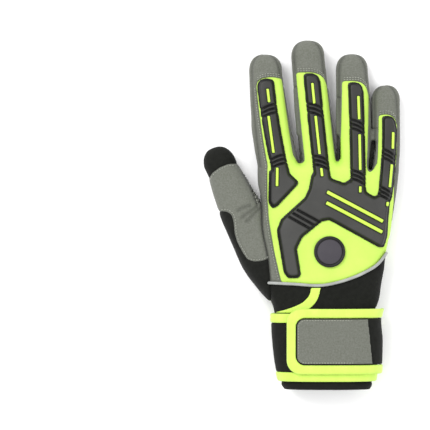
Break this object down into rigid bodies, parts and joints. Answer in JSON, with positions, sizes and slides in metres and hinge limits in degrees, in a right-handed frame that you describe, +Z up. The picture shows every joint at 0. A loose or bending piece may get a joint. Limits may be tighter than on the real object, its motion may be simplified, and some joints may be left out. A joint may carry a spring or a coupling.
{
  "type": "anti-vibration glove",
  "caption": "Right-hand anti-vibration work glove with a moulded back guard, neon stretch back, dotted palm and wrist strap, lying palm down.",
  "frame": {"origin": "middle of the underside's bounding box, on the surface that the glove lies on", "axes": "+Y from the wrist to the finger tips, -X to the thumb, +Z up out of the back of the hand"},
  "size_m": [0.143, 0.2556, 0.0398],
  "materials": {
    "palm_cloth": "rough woven cloth with grip dots",
    "suede": "napped synthetic suede",
    "stretch_cloth": "matte knitted stretch cloth",
    "neoprene": "matte neoprene faced with jersey",
    "binding": "matte elastic binding",
    "piping": "satin cord piping",
    "guard_rubber": "satin moulded rubber",
    "neon_rubber": "satin moulded rubber",
    "damper_rubber": "matte moulded rubber",
    "dark_rubber": "satin moulded rubber"
  },
  "bodies": {
    "root": {"palm_panel": "palm_cloth", "thumb_front": "palm_cloth", "thumb_back_patch": "suede", "index_side_panel": "suede", "middle_tip_cap": "suede", "ring_tip_cap": "suede", "little_side_panel": "suede", "fourchette_index_middle": "suede", "fourchette_middle_ring": "suede", "fourchette_ring_little": "suede", "tab_patch": "suede", "stretch_panel": "stretch_cloth", "thumb_tip": "neoprene", "thumb_outer": "neoprene", "cuff": "neoprene", "cuff_hem": "neoprene", "strap": "neoprene", "tab": "neoprene", "strap_binding_upper": "binding", "strap_binding_lower": "binding", "tab_binding": "binding", "vent_binding": "binding", "cuff_piping": "piping", "guard_index": "guard_rubber", "guard_main": "guard_rubber", "stripe_index_1": "neon_rubber", "stripe_index_2": "neon_rubber", "stripe_index_3": "neon_rubber", "stripe_middle_1": "neon_rubber", "stripe_middle_2": "neon_rubber", "stripe_middle_3": "neon_rubber", "stripe_ring_1": "neon_rubber", "stripe_ring_2": "neon_rubber", "stripe_ring_3": "neon_rubber", "stripe_little_1": "neon_rubber", "stripe_little_2": "neon_rubber", "stripe_little_3": "neon_rubber", "stripe_knuckle_1": "neon_rubber", "stripe_knuckle_2": "neon_rubber", "damper_disc": "damper_rubber", "damper_ring": "dark_rubber"}
  },
  "joints": []
}
